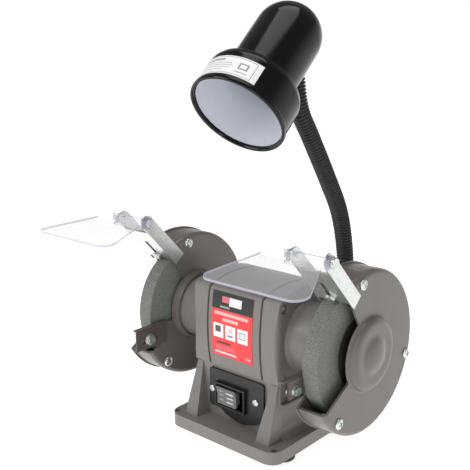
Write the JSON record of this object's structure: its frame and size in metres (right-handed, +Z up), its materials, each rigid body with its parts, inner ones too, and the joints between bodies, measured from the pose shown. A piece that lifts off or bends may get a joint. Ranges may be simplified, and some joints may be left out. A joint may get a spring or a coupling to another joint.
{
  "type": "bench grinder",
  "caption": "Double-ended bench grinder with guarded wheels, clear eye shields, tool rests, front rocker switch and a lamp on a flexible neck.",
  "frame": {"origin": "centre of the four bench-bolt holes, on the underside of the base casting", "axes": "+X along the motor shaft to the right-hand wheel, +Y to the back, +Z up; the switch is on the -Y side"},
  "size_m": [0.3062, 0.2204, 0.4054],
  "materials": {
    "housing_paint": "satin warm grey paint on die-cast aluminium",
    "shell_paint": "satin warm grey paint on steel shell",
    "guard_paint": "satin taupe paint on pressed steel",
    "rest_paint": "satin brown-grey paint on pressed steel",
    "zinc": "bright zinc plate",
    "steel": "turned steel",
    "bearing_steel": "ground and polished bearing steel",
    "core_steel": "stacked electrical sheet",
    "copper": "enamelled copper wire",
    "abrasive": "vitrified grit, grey-green",
    "blotter": "dark paper washer",
    "label_print": "printed film",
    "black_plastic": "glossy moulded black",
    "black_matte": "fine-textured moulded black",
    "rocker_plastic": "glossy grey",
    "foot_rubber": "moulded black rubber",
    "clear_plastic": "clear polycarbonate with pale violet edges",
    "cap_film": "white plastic can",
    "nylon": "natural nylon",
    "neck_sleeve": "black ribbed sleeve",
    "white_enamel": "white enamel",
    "porcelain": "glazed porcelain",
    "bulb_glass": "frosted glass"
  },
  "bodies": {
    "frame": {"base_casting": "housing_paint", "bottom_cover": "zinc", "rubber_feet": "foot_rubber", "foot_screws": "zinc", "cable_gland": "black_matte", "capacitor": "cap_film", "terminal_block": "nylon", "stator_shell": "shell_paint", "stator_core": "core_steel", "windings": "copper", "end_cap_left": "housing_paint", "end_cap_right": "housing_paint", "end_cap_screws": "zinc", "rating_label": "label_print", "bearing_outer_rings": "bearing_steel", "bearing_balls": "bearing_steel", "guard_cup_left": "guard_paint", "guard_cover_left": "guard_paint", "guard_cup_right": "guard_paint", "guard_plate_right": "guard_paint", "guard_bolts_left": "zinc", "guard_bolts_right": "zinc", "guard_mount_screws": "zinc", "switch_plate": "black_matte", "switch_body": "black_matte", "switch_screws": "zinc", "arrestor_screws": "zinc", "rest_bolts": "zinc", "lamp_mount": "black_matte", "lamp_mount_screws": "zinc", "neck_ferrule": "steel"},
    "rotor": {"shaft": "steel", "rotor_core": "core_steel", "wheel_left": "abrasive", "wheel_right": "abrasive", "wheel_flanges": "steel", "wheel_blotters": "blotter", "spindle_nuts": "zinc", "bearing_inner_rings": "bearing_steel"},
    "rocker": {"switch_rocker": "rocker_plastic"},
    "arrestor_left": {"spark_arrestor_left": "zinc", "shield_pins_left": "zinc"},
    "arrestor_right": {"spark_arrestor_right": "zinc", "shield_pins_right": "zinc"},
    "shield_left": {"eye_shield_left": "clear_plastic"},
    "shield_right": {"eye_shield_right": "clear_plastic"},
    "rest_left": {"tool_rest_left": "rest_paint"},
    "rest_right": {"tool_rest_right": "rest_paint"},
    "link_1": {"neck_1": "neck_sleeve"},
    "link_2": {"neck_2": "neck_sleeve"},
    "link_3": {"neck_3": "neck_sleeve"},
    "link_4": {"neck_4": "neck_sleeve"},
    "lamp_head": {"neck_5": "neck_sleeve", "lamp_shade": "black_plastic", "lamp_reflector": "white_enamel", "lamp_holder": "porcelain", "lamp_bulb": "bulb_glass"},
    "button": {"lamp_button": "black_plastic"}
  },
  "joints": [
    {"name": "rotor_spin", "type": "hinge", "parent": "frame", "child": "rotor", "pos_m": [0, 0, 0.1035], "axis": [1, 0, 0], "continuous": true},
    {"name": "rocker_tilt", "type": "hinge", "parent": "frame", "child": "rocker", "pos_m": [-0.0086, -0.043, 0.0381], "axis": [1, 0, 0], "range_deg": [-12, 0]},
    {"name": "arrestor_left_slide", "type": "slide", "parent": "frame", "child": "arrestor_left", "axis": [0, -0.6871, 0.7266], "range_m": [-0.001, 0.005]},
    {"name": "shield_left_tilt", "type": "hinge", "parent": "arrestor_left", "child": "shield_left", "pos_m": [-0.10465, -0.06693, 0.20113], "axis": [-1, 0, 0], "range_deg": [-35, 60]},
    {"name": "rest_left_slide", "type": "slide", "parent": "frame", "child": "rest_left", "axis": [0, 1, 0], "range_m": [-0.006, 0.004]},
    {"name": "arrestor_right_slide", "type": "slide", "parent": "frame", "child": "arrestor_right", "axis": [0, -0.6871, 0.7266], "range_m": [-0.001, 0.005]},
    {"name": "shield_right_tilt", "type": "hinge", "parent": "arrestor_right", "child": "shield_right", "pos_m": [0.10465, -0.06693, 0.20113], "axis": [-1, 0, 0], "range_deg": [-35, 60]},
    {"name": "rest_right_slide", "type": "slide", "parent": "frame", "child": "rest_right", "axis": [0, 1, 0], "range_m": [-0.006, 0.004]},
    {"name": "neck_sway", "type": "hinge", "parent": "frame", "child": "link_1", "pos_m": [0.056, 0.057, 0.126], "axis": [0, 1, 0], "range_deg": [-12, 12]},
    {"name": "neck_bend", "type": "hinge", "parent": "link_1", "child": "link_2", "pos_m": [0.056, 0.055, 0.168], "axis": [-1, 0, 0], "range_deg": [-7, 5]},
    {"name": "neck_bend_2", "type": "hinge", "parent": "link_2", "child": "link_3", "pos_m": [0.056, 0.0435, 0.212], "axis": [-1, 0, 0], "range_deg": [-7, 5]},
    {"name": "neck_bend_3", "type": "hinge", "parent": "link_3", "child": "link_4", "pos_m": [0.056, 0.021, 0.2495], "axis": [-1, 0, 0], "range_deg": [-7, 5]},
    {"name": "neck_bend_4", "type": "hinge", "parent": "link_4", "child": "lamp_head", "pos_m": [0.056, -0.005, 0.288], "axis": [-1, 0, 0], "range_deg": [-7, 5]},
    {"name": "button_press", "type": "slide", "parent": "lamp_head", "child": "button", "axis": [0.0299, -0.7455, -0.6659], "range_m": [0, 0.0015], "stiffness_N_per_m": 400}
  ],
  "couplings": [
    {"joint": "neck_bend_2", "follows": "neck_bend", "ratio": 1},
    {"joint": "neck_bend_3", "follows": "neck_bend", "ratio": 1},
    {"joint": "neck_bend_4", "follows": "neck_bend", "ratio": 1}
  ]
}
